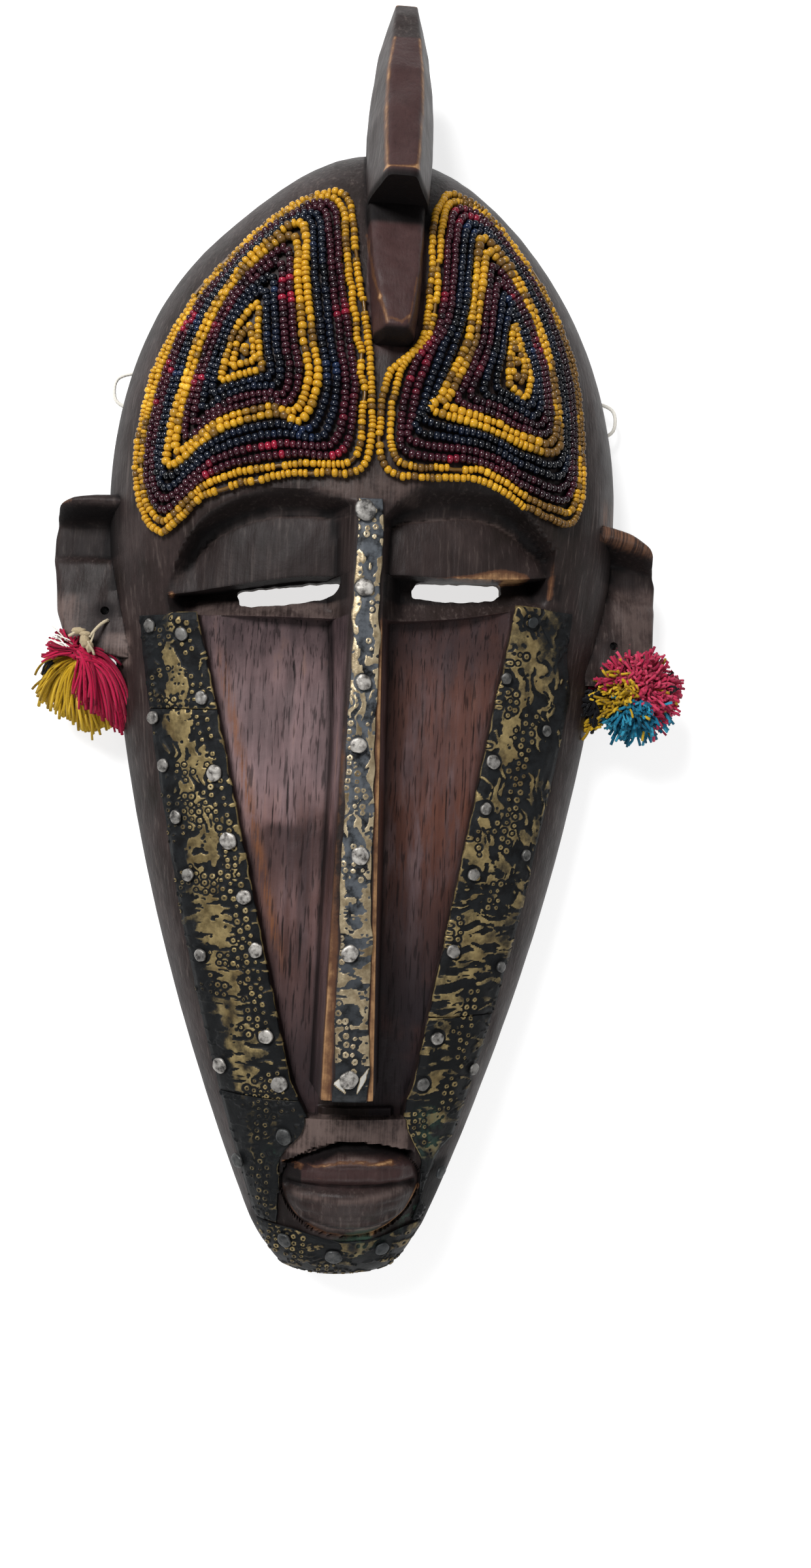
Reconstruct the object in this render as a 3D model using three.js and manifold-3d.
// Carved wooden wall mask with brass sheets, nails, sewn glass beads and yarn tassels.
// Millimetres. The mask lies on its back rim: z = 0 is the rim, +Z is the face, +Y the crest.
import * as THREE from 'three';
import { mergeVertices } from 'three/addons/utils/BufferGeometryUtils.js';
import Module from 'manifold-3d';

const wasm = await Module();
wasm.setup();

// Driving dimensions of the carved body
const midX = -1.6;            // middle of the face, seen from the front
const chinY = -194;           // lowest point of the chin
const domeY = 45;             // widest point, level with the tops of the ears
const headTopY = 155;         // top of the skull, under the crest
const halfWidthMax = 79.5;
const taperRate = 0.0031;     // how fast the cheeks run in towards the chin
const taperPower = 1.8;
const chinRoundStart = -172;
const edgeHeight = 10;        // height of the side wall's sharpest turn above the rim
const foreheadHeight = 56;
const cheekDrop = 10;         // forehead to cheek
const sectionPower = 2.2;     // 2 is an ellipse, more is squarer
const rimTuck = 2;            // the rim sits this much inside the widest line
const wallAtRim = 8.5;
const wallAtFront = 17;

// Driving dimensions of the face
const lidLineY = 20.3;        // lower edge of the eyelids
const lidTilt = 0.155;        // the left eye runs down to the outside
const panelTopY = 7;
const panelBottomY = -136;
const panelDepth = 3.5;
const mouthTurnY = -139;      // where the strips stop running in and go round the mouth
const browDepth = 9;
const browWidth = 5;
const lidBulge = 6.5;
const eyes = [
  { x: -31.5, a: 28, bTop: 21, slit: [-39.2, -9.3], tall: [6.6, 5.6] },
  { x: 28.5, a: 25.5, bTop: 26, slit: [12.4, 38.6], tall: [6, 6] },
];
const slitFloor = 12;         // depth of the slit's floor below the face
const noseX = -1.8;
const noseTopY = 40;
const noseBottomY = -128.7;
const noseTopZ = 56.5;
const noseTipZ = 60;
const mouth = { x: 0.6, y: -157.8, a: 20.5, b: 12.4, lineY: -157.6, rise: 7.5 };

// Sheet metal, nails, beads and thread
const gap = 0.35;             // air between touching pieces
const sheetThickness = 0.8;
const nailRadius = 2.4;
const nailDome = 1.3;
const beadThickness = 2.3;
const threadRadius = 0.6;

const clamp = THREE.MathUtils.clamp;
const lerp = THREE.MathUtils.lerp;
const smooth = (t) => THREE.MathUtils.smoothstep(t, 0, 1);

// Outline: an ellipse over the forehead, then a taper that speeds up towards a round chin
function halfWidth(y) {
  if (y > domeY) {
    const t = (y - domeY) / (headTopY - domeY);
    return halfWidthMax * Math.sqrt(Math.max(0, 1 - t * t));
  }
  const taper = halfWidthMax - taperRate * (domeY - y) ** taperPower;
  const t = clamp((chinRoundStart - y) / (chinRoundStart - chinY), 0, 1);
  return taper * Math.cbrt(1 - t ** 3);
}

// Height of the face along its middle
function crownHeight(y) {
  const rise = foreheadHeight - edgeHeight;
  if (y > domeY) {
    const t = (y - domeY) / (headTopY - domeY);
    return edgeHeight + rise * Math.max(0, 1 - t ** 2.6) ** (1 / 2.6);
  }
  const cheek = rise - cheekDrop * smooth((domeY - y) / 60) - 0.02 * Math.max(0, -15 - y);
  const t = clamp((-150 - y) / (-150 - chinY), 0, 1);
  return edgeHeight + cheek * Math.max(0, 1 - t ** 2.4) ** (1 / 2.4);
}

// The uncarved block: a superellipse section across every y
function block(x, y) {
  const half = halfWidth(y);
  const s = half > 0 ? clamp(Math.abs(x - midX) / half, 0, 1) : 0;
  return edgeHeight + (crownHeight(y) - edgeHeight) * (1 - s ** sectionPower) ** (1 / sectionPower);
}

// Inner and outer edges of the metal-covered cheek strips, measured from the middle.
// The left strip starts further out and runs in faster; both turn out again round the mouth.
const strips = { '-1': { top: 48.7, slope: 0.236, mouth: 18.4 }, 1: { top: 44, slope: 0.173, mouth: 23.4 } };
function stripInner(y, side) {
  const { top, slope, mouth: wide } = strips[side];
  if (y > panelTopY) return (top * halfWidth(y)) / halfWidth(panelTopY);
  const narrow = top - slope * (panelTopY - Math.max(y, mouthTurnY));
  const cheek = lerp(narrow, wide, smooth((mouthTurnY - y) / 13));
  return Math.min(cheek, halfWidth(y) * 0.72);
}
function stripOuter(y) {
  const share = lerp(0.855, 0.83, clamp((panelTopY - y) / 60, 0, 1));
  return halfWidth(y) * share;
}

// The nose: a long straight ridge that widens downwards
const noseDown = (y) => clamp((noseTopY - y) / (noseTopY - noseBottomY), 0, 1);
const noseHalf = (y) => lerp(3.9, 7.2, noseDown(y));
const noseHeight = (y) => lerp(noseTopZ, noseTipZ, noseDown(y));
function noseFlare(y, side) {
  return side < 0 ? lerp(8, 3.2, smooth(noseDown(y) / 0.45)) : lerp(3.4, 2.6, noseDown(y));
}

const lidLine = (x) => lidLineY + Math.min(0, lidTilt * (x + 10));

// Eye socket: a sharp brow arch, a lid that swells towards its cut lower edge, and a deep slit floor
function socket(x, y, eye) {
  const across = (x - eye.x) / eye.a;
  const edge = lidLine(x);
  if (y >= edge - 0.1) {
    const up = (y - edge) / (eye.bTop + lidLineY - edge);
    const inside = (1 - Math.hypot(across, up)) * eye.bTop;
    if (inside <= 0) return 0;
    return -browDepth * smooth(inside / browWidth) + lidBulge * smooth((inside - browWidth) / 12);
  }
  const ends = smooth((1 - Math.abs(across)) * eye.a / 6);
  const down = clamp((edge - y) / (edge - panelTopY), 0, 1);
  return -ends * lerp(slitFloor, panelDepth, down ** 1.4);
}

const panelFloor = (y) => block(midX + stripInner(y, 1), y) - panelDepth;

// Height of the carved face over the rim plane
function face(x, y) {
  const u = Math.abs(x - midX);
  const raw = block(x, y);
  let z = raw;
  if (y > panelTopY) {
    for (const eye of eyes) z += socket(x, y, eye);
  } else if (y > panelBottomY) {
    const inner = stripInner(y, x < midX ? -1 : 1);
    z = lerp(raw, panelFloor(y) + 1.2 * (1 - u / inner), smooth((inner - u) / 1.6));
  }
  const lip = 1 - ((x - mouth.x) / mouth.a) ** 2 - ((y - mouth.y) / mouth.b) ** 2;
  if (lip > 0) {
    const groove = 3.2 * Math.exp(-(((y - mouth.lineY) / 1.6) ** 2));
    z += mouth.rise * Math.sqrt(lip) - 2.5 - groove;
  }
  if (y >= noseBottomY && y <= noseTopY) {
    const side = x < noseX ? -1 : 1;
    const down = Math.max(0, Math.abs(x - noseX) - noseHalf(y)) / noseFlare(y, side);
    if (down < 1) z = Math.max(z, lerp(noseHeight(y), panelFloor(y), down));
  }
  return z;
}

// Grid lines across the face, from the left edge to the right, along the carved edges
function columns(y) {
  const half = halfWidth(y);
  const outer = stripOuter(y);
  const foot = (side) => noseX + side * (noseHalf(y) + noseFlare(y, side));
  const squeeze = (x) => midX + clamp(x - midX, -0.9 * stripInner(y, -1), 0.9 * stripInner(y, 1));
  const flank = (side) => {
    const inner = stripInner(y, side);
    const wall = [1, 0.985, 0.95, 0.905].map((s) => s * half);
    const strip = [outer, (outer + inner) / 2, inner, Math.max(inner - 1.6, inner * 0.92)];
    return [...wall, ...strip].map((d) => midX + side * d);
  };
  const cheek = (from, to) => [1, 2, 3, 4, 5, 6].map((k) => lerp(from, to, k / 7));
  const left = flank(-1);
  const right = flank(1).reverse();
  const nose = [
    foot(-1), noseX - noseHalf(y), noseX - stripHalf(y), noseX,
    noseX + stripHalf(y), noseX + noseHalf(y), foot(1),
  ].map(squeeze);
  return [...left, ...cheek(left.at(-1), nose[0]), ...nose, ...cheek(nose.at(-1), right[0]), ...right];
}
const stripHalf = (y) => lerp(3.3, 4.7, noseDown(y));
const columnOf = { outerL: 4, innerL: 6, noseL: 16, noseR: 18, innerR: 28, outerR: 30 };

// Grid lines down the face, closest where the carving is; they follow the tilt of the eyes
const seams = { leftTop: -20, leftBottom: -133, rightLow: -108, jaw: -171, chinEdge: -188 };
const rows = [
  chinY, -192.5, seams.chinEdge, -183, -177, seams.jaw, -168, -164.5, -161, -159, -157.6, -156,
  -152.5, -148.5, -145.5, -141, -137, -136, seams.leftBottom, noseBottomY - 0.6, noseBottomY, -120,
  seams.rightLow, -85, -55, seams.leftTop, 0, panelTopY, 11.5, 15.8, 19.6, lidLineY, 24, 28, 32, 36, noseTopY,
  noseTopY + 1.5, domeY, 52, 63, 77, 91, 105, 118, 130, 140, 147, 152.5, headTopY,
];
function warp(x, y) {
  const bell = smooth(1 - Math.abs(y - lidLineY) / (y > lidLineY ? 24 : lidLineY - panelTopY));
  return y + (lidLine(clamp(x, -62, 60)) - lidLineY) * bell;
}
const grid = rows.map((y) => columns(y).map((x) => {
  const tilted = warp(x, y);
  return new THREE.Vector3(x, tilted, face(x, tilted));
}));

// Solids from closed loops of points, one after another along the piece; ends are closed in the loops' plane
const acrossY = (p) => new THREE.Vector2(p.x, p.z);
const acrossZ = (p) => new THREE.Vector2(p.x, p.y);
function loft(loops, { ring = false, plane = acrossY } = {}) {
  const count = loops[0].length;
  const positions = loops.flat().flatMap((p) => [p.x, p.y, p.z]);
  const index = [];
  const steps = ring ? loops.length : loops.length - 1;
  for (let i = 0; i < steps; i += 1) {
    const next = (i + 1) % loops.length;
    for (let j = 0; j < count; j += 1) {
      const k = (j + 1) % count;
      const [a, b] = [i * count + j, i * count + k];
      const [c, d] = [next * count + k, next * count + j];
      index.push(a, b, c, a, c, d);
    }
  }
  const cap = (row, withLoop) => {
    const flat = loops[row].map(plane);
    const width = new THREE.Box2().setFromPoints(flat).getSize(new THREE.Vector2()).x;
    if (width < 0.01) return;
    const turn = Math.sign(THREE.ShapeUtils.area(flat));
    for (const [a, b, c] of THREE.ShapeUtils.triangulateShape(flat, [])) {
      const same = Math.sign(THREE.ShapeUtils.area([flat[a], flat[b], flat[c]])) === turn;
      const corners = same === withLoop ? [a, b, c] : [a, c, b];
      index.push(...corners.map((v) => row * count + v));
    }
  };
  if (!ring) {
    cap(0, false);
    cap(loops.length - 1, true);
  }
  const geometry = new THREE.BufferGeometry();
  geometry.setAttribute('position', new THREE.Float32BufferAttribute(positions, 3));
  geometry.setIndex(index);
  return geometry;
}

// Merge shared corners, drop empty triangles and turn the faces outwards
function tidy(geometry) {
  const bare = new THREE.BufferGeometry();
  bare.setAttribute('position', geometry.getAttribute('position'));
  bare.setIndex(geometry.getIndex());
  const merged = mergeVertices(bare, 1e-4);
  const at = (i) => new THREE.Vector3().fromBufferAttribute(merged.getAttribute('position'), i);
  const old = merged.getIndex().array;
  const triangles = [];
  let volume = 0;
  for (let i = 0; i < old.length; i += 3) {
    const [a, b, c] = [old[i], old[i + 1], old[i + 2]];
    if (a === b || b === c || c === a) continue;
    triangles.push([a, b, c]);
    volume += at(a).dot(at(b).cross(at(c)));
  }
  merged.setIndex(triangles.flatMap(([a, b, c]) => (volume < 0 ? [a, c, b] : [a, b, c])));
  return merged;
}

function solid(geometry) {
  const clean = tidy(geometry);
  return new wasm.Manifold(new wasm.Mesh({
    numProp: 3,
    vertProperties: new Float32Array(clean.getAttribute('position').array),
    triVerts: new Uint32Array(clean.getIndex().array),
  }));
}

function fromSolid(manifold) {
  const data = manifold.getMesh();
  const geometry = new THREE.BufferGeometry();
  geometry.setAttribute('position', new THREE.BufferAttribute(data.vertProperties, 3));
  geometry.setIndex(new THREE.BufferAttribute(data.triVerts, 1));
  return geometry;
}

// A flat outline in XY, raised from z0 to z1
function prism(points, z0, z1) {
  const outline = new THREE.Shape(points.map(([x, y]) => new THREE.Vector2(x, y)));
  const geometry = new THREE.ExtrudeGeometry(outline, { depth: z1 - z0, bevelEnabled: false });
  geometry.translate(0, 0, z0);
  return solid(geometry);
}

// A flat outline in YZ, carried from x0 to x1
function sidePrism(points, x0, x1) {
  const outline = new THREE.Shape(points.map(([y, z]) => new THREE.Vector2(y, z)));
  const geometry = new THREE.ExtrudeGeometry(outline, { depth: x1 - x0, bevelEnabled: false });
  geometry.applyMatrix4(new THREE.Matrix4().makeBasis(
    new THREE.Vector3(0, 1, 0), new THREE.Vector3(0, 0, 1), new THREE.Vector3(1, 0, 0),
  ));
  geometry.translate(x0, 0, 0);
  return solid(geometry);
}

const point = (x, y, z) => new THREE.Vector3(x, y, z);

// Carved block: the face grid closed below by the flat rim plane
function carvedBlock(grow = 0) {
  const loops = grid.map((row, i) => {
    const half = Math.max(0, halfWidth(rows[i]) - rimTuck + grow);
    const edgeY = rows[i];
    const top = row.map((p) => point(midX + (p.x - midX) * (1 + grow / 75), p.y, p.z + grow));
    return [...top, point(midX + half, edgeY, -grow), point(midX - half, edgeY, -grow)];
  });
  return solid(loft(loops));
}

// Worn side: a hollow that keeps an even wall to the outline
function hollow() {
  const ys = [-181, -176, -165, -145, -115, -80, -40, 0, 40, 75, 100, 120, 133, 142];
  const share = [-1, -0.94, -0.8, -0.6, -0.35, 0, 0.35, 0.6, 0.8, 0.94, 1];
  const loops = ys.map((y, i) => {
    const end = i === 0 || i === ys.length - 1;
    const half = Math.max(2, halfWidth(y) - rimTuck - wallAtRim) * (end ? 0.55 : 1);
    const ceiling = Math.max(6, crownHeight(y) - wallAtFront) * (end ? 0.4 : 1);
    const top = share.map((s) => point(
      midX + s * half, y, Math.max(1, ceiling * (1 - Math.abs(s) ** sectionPower) ** (1 / sectionPower)),
    ));
    return [...top, point(midX + half, y, -3), point(midX - half, y, -3)];
  });
  return solid(loft(loops));
}

// Crest: a tall blade with a chamfered front that ends in an overhanging beak
const crestLean = (y) => 3 + 0.016 * (y - 126);
function crest() {
  const stations = [
    { y: 126, back: 22, mid: 50, front: 68, wide: 9, narrow: 4 },
    { y: 127.5, back: 21, mid: 50, front: 67.8, wide: 9.2, narrow: 4.4 },
    { y: 150, back: 7, mid: 42, front: 58.8, wide: 10.2, narrow: 5.1 },
    { y: 165, back: 10, mid: 37, front: 52, wide: 9.4, narrow: 4.9 },
    { y: 178.4, back: 15, mid: 33, front: 44, wide: 7.9, narrow: 4.2 },
    { y: 188.5, back: 20, mid: 30, front: 38, wide: 5.6, narrow: 3.5 },
    { y: 194, back: 23, mid: 29, front: 33.5, wide: 4, narrow: 3.3 },
  ];
  return solid(loft(stations.map((s) => {
    const x = crestLean(s.y);
    return [
      point(x - s.wide + 1, s.y, s.back), point(x - s.wide, s.y, s.mid), point(x - s.narrow, s.y, s.front),
      point(x + s.narrow, s.y, s.front), point(x + s.wide, s.y, s.mid), point(x + s.wide - 1, s.y, s.back),
    ];
  })));
}

// Wedge under the beak: its face rises forwards and narrows to a blunt free end
function wedge() {
  const stations = [
    { y: 84.6, low: 49, front: 60, wide: 5.2, narrow: 1.9, x: 3.4 },
    { y: 87, low: 48, front: 64, wide: 5.8, narrow: 2.1, x: 3.6 },
    { y: 104, low: 44, front: 59.4, wide: 7.8, narrow: 4.9, x: 3.1 },
    { y: 125.2, low: 32, front: 51.5, wide: 9.1, narrow: 7.4, x: 2.7 },
    { y: 131, low: 25, front: 50, wide: 9, narrow: 7.4, x: 2.9 },
  ];
  return solid(loft(stations.map((s) => [
    point(s.x - s.wide, s.y, s.low), point(s.x - s.wide, s.y, s.front - 7), point(s.x - s.narrow, s.y, s.front),
    point(s.x + s.narrow, s.y, s.front), point(s.x + s.wide, s.y, s.front - 7), point(s.x + s.wide, s.y, s.low),
  ])));
}

// Ears: lugs with a rim at the top and a scoop behind it that runs out forwards and down
const ears = [
  {
    plan: [[-66, 47], [-76, 45.4], [-86, 44.4], [-92.4, 41.6], [-94.6, 34], [-95, 20], [-94, 8],
      [-91.6, 1.5], [-85, -2.6], [-76, -5], [-66, -6]],
    side: [[48, 8], [46, 28], [43, 31], [41.5, 30], [37, 18.5], [27, 19], [12, 24], [-3, 27], [-8, 25], [-8, 8]],
    hole: [-82, 8.2], x: [-110, -60],
  },
  {
    plan: [[62, 46], [68, 43.5], [76, 42.8], [83, 41], [88, 37.6], [89.6, 33], [89.8, 16], [89.6, 2],
      [86, -4.5], [76, -7], [62, -7]],
    side: [[46, 8], [43.6, 31], [40, 34], [36.6, 33], [33, 19], [22, 20], [8, 25], [-4, 27], [-9, 25], [-9, 8]],
    hole: [78.5, 7.2], x: [60, 110],
  },
];
function earSolid(ear, grow = 0) {
  const wider = ear.plan.map(([x, y]) => [x + Math.sign(x) * grow, y + Math.sign(y - 20) * grow]);
  const taller = ear.side.map(([y, z]) => [y + Math.sign(y - 20) * grow, z < 10 ? z - grow : z + grow]);
  return prism(wider, 4, 40).intersect(sidePrism(taller, ...ear.x));
}

// A round hole of eight sides along an axis
function drill(x, y, z, radius, length, axis) {
  const geometry = new THREE.CylinderGeometry(radius, radius, length, 8);
  if (axis === 'x') geometry.rotateZ(Math.PI / 2);
  if (axis === 'z') geometry.rotateX(Math.PI / 2);
  geometry.translate(x, y, z);
  return solid(geometry);
}

const threadHoles = { y: [87, 76], z: 6, radius: 1.6 };

function carvedWood() {
  let wood = carvedBlock().add(crest()).add(wedge());
  for (const ear of ears) wood = wood.add(earSolid(ear));
  wood = wood.subtract(hollow());
  for (const eye of eyes) {
    const [x0, x1] = eye.slit;
    const edge = (x) => lidLine(x) - 0.9;
    const low = (x) => edge(x) - lerp(...eye.tall, (x - x0) / (x1 - x0));
    const outline = [[x0, low(x0) + 1], [x0 + 2.5, low(x0 + 2.5)], [x1, low(x1)], [x1, edge(x1)], [x0, edge(x0)]];
    wood = wood.subtract(prism(outline, -5, 60));
  }
  for (const ear of ears) wood = wood.subtract(drill(...ear.hole, 20, 1.6, 60, 'z'));
  for (const side of [-1, 1]) {
    for (const y of threadHoles.y) {
      wood = wood.subtract(drill(midX + side * 70, y, threadHoles.z, threadHoles.radius, 40, 'x'));
    }
  }
  return wood;
}

// A patch of the face grid lifted off the wood and given the thickness of sheet metal
function sheet(y0, y1, from, to, stride = 1) {
  const i0 = rows.indexOf(y0);
  const i1 = rows.indexOf(y1);
  const inset = 0.25;
  const loops = [];
  for (let i = i0; i <= i1; i += 1) {
    const near = i === i0 ? grid[i + 1] : grid[i - 1];
    const pull = i === i0 || i === i1 ? inset / Math.abs(rows[i] - rows[i === i0 ? i + 1 : i - 1]) : 0;
    const line = grid[i].slice(from, to + 1).map((p, k) => p.clone().lerp(near[from + k], pull))
      .filter((p, k) => k % stride === 0);
    const lift = gap * stride;
    const under = line.map((p) => point(p.x, p.y, p.z + lift));
    const over = line.map((p) => point(p.x, p.y, p.z + lift + sheetThickness)).reverse();
    loops.push([...under, ...over]);
  }
  return tidy(loft(loops));
}

// Nail heads: shallow hammered domes square to the surface they hold down
const nailPlaces = {
  nose: [[-3.4, 34.5], [-2.6, 14.7], [-1.8, -11.9], [-2.6, -29.6], [-0.9, -60.4], [-2.7, -87.6], [-1.2, -121.5]],
  left_inner: [[-54, 1.5], [-47.6, -17], [-43, -38.8], [-38.2, -58.3], [-33, -74.5], [-29, -89.8],
    [-25, -114.9], [-20.6, -128.6], [-21, -143.3]],
  left_outer: [[-63, 3], [-61.5, -25], [-58, -38], [-53.6, -52.3], [-49.6, -69], [-45, -92.6], [-38, -125.3]],
  right_inner: [[48.6, 3], [42.6, -9.5], [38.6, -32.3], [36, -46.1], [33.4, -65.9], [29, -89], [24.6, -113],
    [20.6, -128]],
  right_outer: [[54, -22], [49.4, -59.7], [43.2, -93.7]],
  chin: [[-3, -180]],
};
function nail(x, y) {
  const profile = [[0, 0], [nailRadius, 0], [nailRadius * 0.72, nailDome * 0.7], [0, nailDome]];
  const geometry = new THREE.LatheGeometry(profile.map(([r, h]) => new THREE.Vector2(r, h)), 6);
  const step = 1.8;
  const slopeX = (face(x + step, y) - face(x - step, y)) / (2 * step);
  const slopeY = (face(x, y + step) - face(x, y - step)) / (2 * step);
  const normal = point(-slopeX, -slopeY, 1).normalize();
  const turn = new THREE.Quaternion().setFromUnitVectors(point(0, 1, 0), normal);
  geometry.applyQuaternion(turn);
  const base = point(x, y, face(x, y)).addScaledVector(normal, gap * 2.4 + sheetThickness);
  geometry.translate(base.x, base.y, base.z);
  return tidy(geometry);
}

// Bead lobes: three outlines a lobe; the rings between them are spaced evenly
const lobes = {
  left: {
    outer: [[-61.2, 30.3], [-68.9, 47.6], [-64.1, 80.2], [-51.5, 106.2], [-28.5, 128.1], [-12.2, 131.1],
      [-8.2, 108], [-5.4, 83.5], [-4.4, 66.1], [-8.4, 47.6], [-25, 45.8], [-47.4, 40.3]],
    middle: [[-57.7, 48.8], [-59, 56.1], [-53.2, 82.9], [-47.3, 98.1], [-37.8, 110.9], [-24.5, 120.1],
      [-22.1, 102.6], [-19.6, 83.8], [-17.7, 72.8], [-21.6, 61.2], [-30.4, 62.5], [-44.3, 58.5]],
    core: [[-44.8, 72.3], [-44.2, 76.3], [-43.1, 81.4], [-41.9, 86.2], [-38.7, 91.5], [-35.5, 94.3],
      [-35, 87.8], [-34.5, 81.1], [-33.6, 77.3], [-33, 75.6], [-36.6, 74.5], [-41.3, 73.3]],
  },
  right: {
    outer: [[14, 124.5], [19.6, 133.7], [31.9, 127.6], [47, 108.6], [57, 87], [60.7, 61.6], [58.6, 40.2],
      [45.1, 40.9], [28.7, 47.5], [6.4, 47.2], [0.8, 55.2], [2.4, 73], [12, 90.2]],
    middle: [[27, 117.9], [29.4, 119.2], [34, 115.3], [41.8, 104.1], [50, 84], [52.9, 65], [50.6, 58.5],
      [41.6, 59.1], [30.4, 62.6], [14.5, 66], [16.9, 70.5], [23.7, 86.5], [25.3, 98.2]],
    core: [[37.5, 94.2], [37.9, 93.9], [38.7, 92.1], [40.2, 87.2], [42.6, 82.9], [42.7, 77], [41.4, 73.1],
      [39.1, 74.4], [37.9, 75], [36.7, 75.9], [36.3, 81.7], [36.8, 87.7], [37.1, 91.7]],
  },
};
const ringNames = ['yellow_outer', 'burgundy_outer', 'navy_outer', 'yellow_middle', 'burgundy_inner',
  'navy_inner', 'yellow_core'];
const ringFrom = -0.22;       // a ring is two rows wide, from just outside its outer row
const ringTo = 0.68;

// Outline of a lobe at depth t: 0 is the outermost row of beads, 3 the middle yellow, 6 the core
function lobeOutline(lobe, t, samples) {
  const [from, to, share] = t < 3 ? [lobe.outer, lobe.middle, t / 3] : [lobe.middle, lobe.core, (t - 3) / 3];
  const knots = from.map(([x, y], i) => point(lerp(x, to[i][0], share), lerp(y, to[i][1], share), 0));
  const curve = new THREE.CatmullRomCurve3(knots, true, 'catmullrom', 0.5);
  return curve.getPoints(samples).slice(0, samples);
}
// Heights that keep every straight stretch of an outline just clear of the dome below it
function restingHeights(outline) {
  const lift = 0.75;
  const sag = outline.map((a, i) => {
    const b = outline[(i + 1) % outline.length];
    return block((a.x + b.x) / 2, (a.y + b.y) / 2) - (block(a.x, a.y) + block(b.x, b.y)) / 2;
  });
  return outline.map((a, i) => block(a.x, a.y) + lift + Math.max(0, sag[i], sag.at(i - 1)));
}
function beadRing(lobe, t, samples) {
  const out = lobeOutline(lobe, t + ringFrom, samples);
  const into = lobeOutline(lobe, t + ringTo, samples);
  const [under, underInner] = [out, into].map(restingHeights);
  return tidy(loft(out.map((a, i) => {
    const b = into[i];
    const [za, zb] = [under[i], underInner[i]];
    return [
      point(a.x, a.y, za), point(b.x, b.y, zb),
      point(b.x, b.y, zb + beadThickness), point(a.x, a.y, za + beadThickness),
    ];
  }), { ring: true }));
}
// The innermost ring has no hole: its beads fill the middle of the lobe
function beadCore(lobe, t, samples) {
  const outline = lobeOutline(lobe, t + ringFrom, samples);
  const under = restingHeights(outline);
  const raised = (height) => outline.map((p, i) => point(p.x, p.y, under[i] + height));
  return tidy(loft([raised(0), raised(beadThickness)], { plane: acrossZ }));
}

// Tassels: lumps of cut yarn that lie over the ends of the ears
const tassels = {
  left: { centre: [-85.5, -14, 16.2], radii: [14.5, 15.3, 15.6] },
  right: { centre: [84.4, -8.5, 20.2], radii: [15.6, 15.6, 19.6] },
};
function tassel(lump, ear) {
  const ball = new THREE.SphereGeometry(1, 10, 6);
  ball.scale(...lump.radii);
  ball.translate(...lump.centre);
  const around = carvedBlock(0.5).add(earSolid(ear, 0.5));
  const pieces = solid(ball).subtract(around).decompose();
  return pieces.sort((a, b) => b.volume() - a.volume())[0];
}

// Hanging thread: out and in through both pairs of holes, slack across the hollow
const threadRoute = [
  [-55, 62, 0.9], [-58.5, 69, 1.8], [-62, 74.4, 4.4], [-66.5, 76, 6], [-72, 76, 6], [-78, 76, 6],
  [-81.6, 78, 6.4], [-82.4, 81.5, 6.6], [-81.4, 85, 6.3], [-77, 87, 6], [-70, 87, 6], [-64.5, 87, 6],
  [-59, 84.6, 3.4], [-53, 79, 1.1], [-44, 73, 0.9], [-26, 71, 0.9], [-6, 75, 0.9], [16, 69, 0.9],
  [36, 71, 0.9], [49, 78, 1.1], [56, 84.6, 3.4], [61.3, 87, 6], [67, 87, 6], [73.8, 87, 6],
  [78.2, 85, 6.3], [79.2, 81.5, 6.6], [78.4, 78, 6.4], [74.8, 76, 6], [68.8, 76, 6], [63.3, 76, 6],
  [58.8, 74.4, 4.4], [55.3, 69, 1.8], [52, 62, 0.9],
];
function thread() {
  const route = new THREE.CatmullRomCurve3(threadRoute.map((p) => point(...p)), false, 'centripetal');
  const circle = new THREE.Shape();
  circle.absarc(0, 0, threadRadius, 0, Math.PI * 2);
  return tidy(new THREE.ExtrudeGeometry(circle, {
    steps: 52, curveSegments: 4, bevelEnabled: false, extrudePath: route,
  }));
}

// Materials
const finish = (color, roughness, metalness) => new THREE.MeshStandardMaterial({ color, roughness, metalness });
const materials = {
  wood: () => finish(0x33231f, 0.62, 0),
  brass: () => finish(0x6b5a2c, 0.42, 0.85),
  nail: () => finish(0x9a9894, 0.38, 0.9),
  yellow: () => finish(0xc58a1c, 0.45, 0),
  burgundy: () => finish(0x3c0f1d, 0.2, 0),
  navy: () => finish(0x121a2e, 0.2, 0),
  yarn: () => finish(0xb01f48, 0.95, 0),
  thread: () => finish(0xe8e4da, 0.9, 0),
};

const mask = new THREE.Group();
function place(name, geometry, material) {
  const mesh = new THREE.Mesh(geometry, material);
  mesh.name = name;
  mask.add(mesh);
}

place('wood_mask', fromSolid(carvedWood()), materials.wood());

const c = columnOf;
place('brass_nose_strip', sheet(noseBottomY, noseTopY, c.noseL, c.noseR), materials.brass());
place('brass_left_upper', sheet(seams.leftTop, panelTopY, c.outerL, c.innerL), materials.brass());
place('brass_left_cheek', sheet(seams.leftBottom, seams.leftTop, c.outerL, c.innerL), materials.brass());
place('brass_left_jaw', sheet(seams.jaw, seams.leftBottom, c.outerL, c.innerL), materials.brass());
place('brass_right_cheek', sheet(seams.rightLow, panelTopY, c.innerR, c.outerR), materials.brass());
place('brass_right_jaw', sheet(seams.jaw, seams.rightLow, c.innerR, c.outerR), materials.brass());
place('brass_chin', sheet(seams.chinEdge, seams.jaw, c.outerL, c.outerR, 2), materials.brass());

for (const [group, spots] of Object.entries(nailPlaces)) {
  spots.forEach(([x, y], i) => place(`nail_${group}_${i + 1}`, nail(x, y), materials.nail()));
}

for (const [sideName, lobe] of Object.entries(lobes)) {
  ringNames.forEach((ring, t) => {
    const samples = lobe.outer.length * (t < 5 ? 2 : 1);
    const colour = ring.split('_')[0];
    const make = ring.endsWith('core') ? beadCore : beadRing;
    place(`beads_${sideName}_${ring}`, make(lobe, t, samples), materials[colour]());
  });
}

place('tassel_left', fromSolid(tassel(tassels.left, ears[0])), materials.yarn());
place('tassel_right', fromSolid(tassel(tassels.right, ears[1])), materials.yarn());
place('hanging_thread', thread(), materials.thread());

export default mask;
